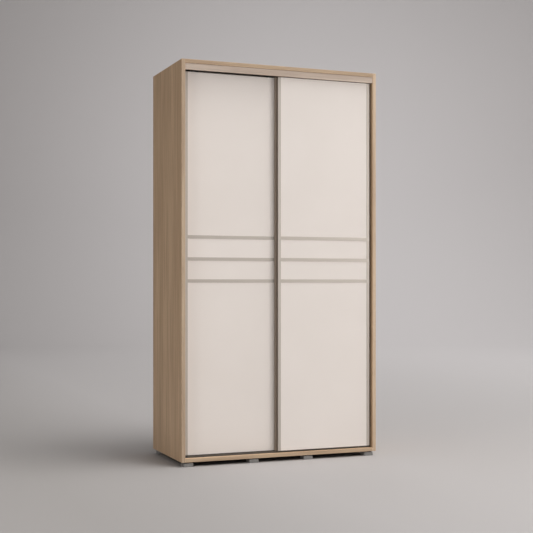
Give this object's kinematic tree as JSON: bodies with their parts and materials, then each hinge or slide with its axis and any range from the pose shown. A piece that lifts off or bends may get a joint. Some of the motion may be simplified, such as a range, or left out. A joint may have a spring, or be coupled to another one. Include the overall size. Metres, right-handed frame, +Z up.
{
  "type": "sliding door wardrobe",
  "caption": "Tall box wardrobe on low square feet, with framed sliding doors that pass each other on a double track in front of shelves and a hanging rail.",
  "frame": {"origin": "on the floor, under the middle of the footprint", "axes": "+Z up, doors face -Y, +X to the right of someone facing the doors"},
  "size_m": [1.25, 0.6, 2.352],
  "materials": {
    "oak_laminate": "matte",
    "oak_interior": "matte",
    "oak_foil": "satin",
    "back_fibreboard": "matte",
    "cashmere_panel": "matte",
    "champagne_aluminium": "satin",
    "track_aluminium": "satin",
    "rail_steel": "polished",
    "zinc_steel": "satin",
    "white_nylon": "satin",
    "grey_plastic": "matte"
  },
  "bodies": {
    "carcass": {"side_panel_left": "oak_laminate", "side_panel_right": "oak_laminate", "top_panel": "oak_laminate", "bottom_panel": "oak_laminate", "centre_partition": "oak_interior", "back_panel_left": "back_fibreboard", "back_panel_right": "back_fibreboard", "fascia_board": "oak_foil", "top_track": "track_aluminium", "bottom_track": "track_aluminium", "shelf_left_1": "oak_interior", "shelf_left_2": "oak_interior", "shelf_left_3": "oak_interior", "shelf_left_4": "oak_interior", "hat_shelf": "oak_interior", "hanging_rail": "rail_steel", "rail_socket_left": "zinc_steel", "rail_socket_right": "zinc_steel", "foot_front_1": "grey_plastic", "foot_front_2": "grey_plastic", "foot_front_3": "grey_plastic", "foot_front_4": "grey_plastic", "foot_rear_1": "grey_plastic", "foot_rear_2": "grey_plastic", "foot_rear_3": "grey_plastic", "foot_rear_4": "grey_plastic"},
    "left_door": {"left_door_stile_left": "champagne_aluminium", "left_door_stile_right": "champagne_aluminium", "left_door_top_rail": "cashmere_panel", "left_door_bottom_rail": "cashmere_panel", "left_door_panel_upper": "cashmere_panel", "left_door_panel_mid_upper": "cashmere_panel", "left_door_panel_mid_lower": "cashmere_panel", "left_door_panel_lower": "cashmere_panel", "left_door_strip_1": "champagne_aluminium", "left_door_strip_2": "champagne_aluminium", "left_door_strip_3": "champagne_aluminium", "left_door_carriage_left": "zinc_steel", "left_door_carriage_right": "zinc_steel", "left_door_guide_left": "white_nylon", "left_door_guide_right": "white_nylon"},
    "right_door": {"right_door_stile_left": "champagne_aluminium", "right_door_stile_right": "champagne_aluminium", "right_door_top_rail": "cashmere_panel", "right_door_bottom_rail": "cashmere_panel", "right_door_panel_upper": "cashmere_panel", "right_door_panel_mid_upper": "cashmere_panel", "right_door_panel_mid_lower": "cashmere_panel", "right_door_panel_lower": "cashmere_panel", "right_door_strip_1": "champagne_aluminium", "right_door_strip_2": "champagne_aluminium", "right_door_strip_3": "champagne_aluminium", "right_door_carriage_left": "zinc_steel", "right_door_carriage_right": "zinc_steel", "right_door_guide_left": "white_nylon", "right_door_guide_right": "white_nylon"},
    "left_door_wheel_left": {"left_door_wheel_left": "white_nylon"},
    "left_door_wheel_right": {"left_door_wheel_right": "white_nylon"},
    "right_door_wheel_left": {"right_door_wheel_left": "white_nylon"},
    "right_door_wheel_right": {"right_door_wheel_right": "white_nylon"}
  },
  "joints": [
    {"name": "left_door_slide", "type": "slide", "parent": "carcass", "child": "left_door", "axis": [1, 0, 0], "range_m": [0, 0.568]},
    {"name": "right_door_slide", "type": "slide", "parent": "carcass", "child": "right_door", "axis": [1, 0, 0], "range_m": [-0.568, 0]},
    {"name": "left_door_wheel_left_spin", "type": "hinge", "parent": "left_door", "child": "left_door_wheel_left", "pos_m": [-0.526, -0.2219, 0.0685], "axis": [0, 1, 0], "continuous": true},
    {"name": "left_door_wheel_right_spin", "type": "hinge", "parent": "left_door", "child": "left_door_wheel_right", "pos_m": [-0.044, -0.2219, 0.0685], "axis": [0, 1, 0], "continuous": true},
    {"name": "right_door_wheel_left_spin", "type": "hinge", "parent": "right_door", "child": "right_door_wheel_left", "pos_m": [0.044, -0.2594, 0.0685], "axis": [0, 1, 0], "continuous": true},
    {"name": "right_door_wheel_right_spin", "type": "hinge", "parent": "right_door", "child": "right_door_wheel_right", "pos_m": [0.526, -0.2594, 0.0685], "axis": [0, 1, 0], "continuous": true}
  ],
  "couplings": [
    {"joint": "left_door_wheel_left_spin", "follows": "left_door_slide", "rad_per_m": 95.238},
    {"joint": "left_door_wheel_right_spin", "follows": "left_door_slide", "rad_per_m": 95.238},
    {"joint": "right_door_wheel_left_spin", "follows": "right_door_slide", "rad_per_m": 95.238},
    {"joint": "right_door_wheel_right_spin", "follows": "right_door_slide", "rad_per_m": 95.238}
  ]
}
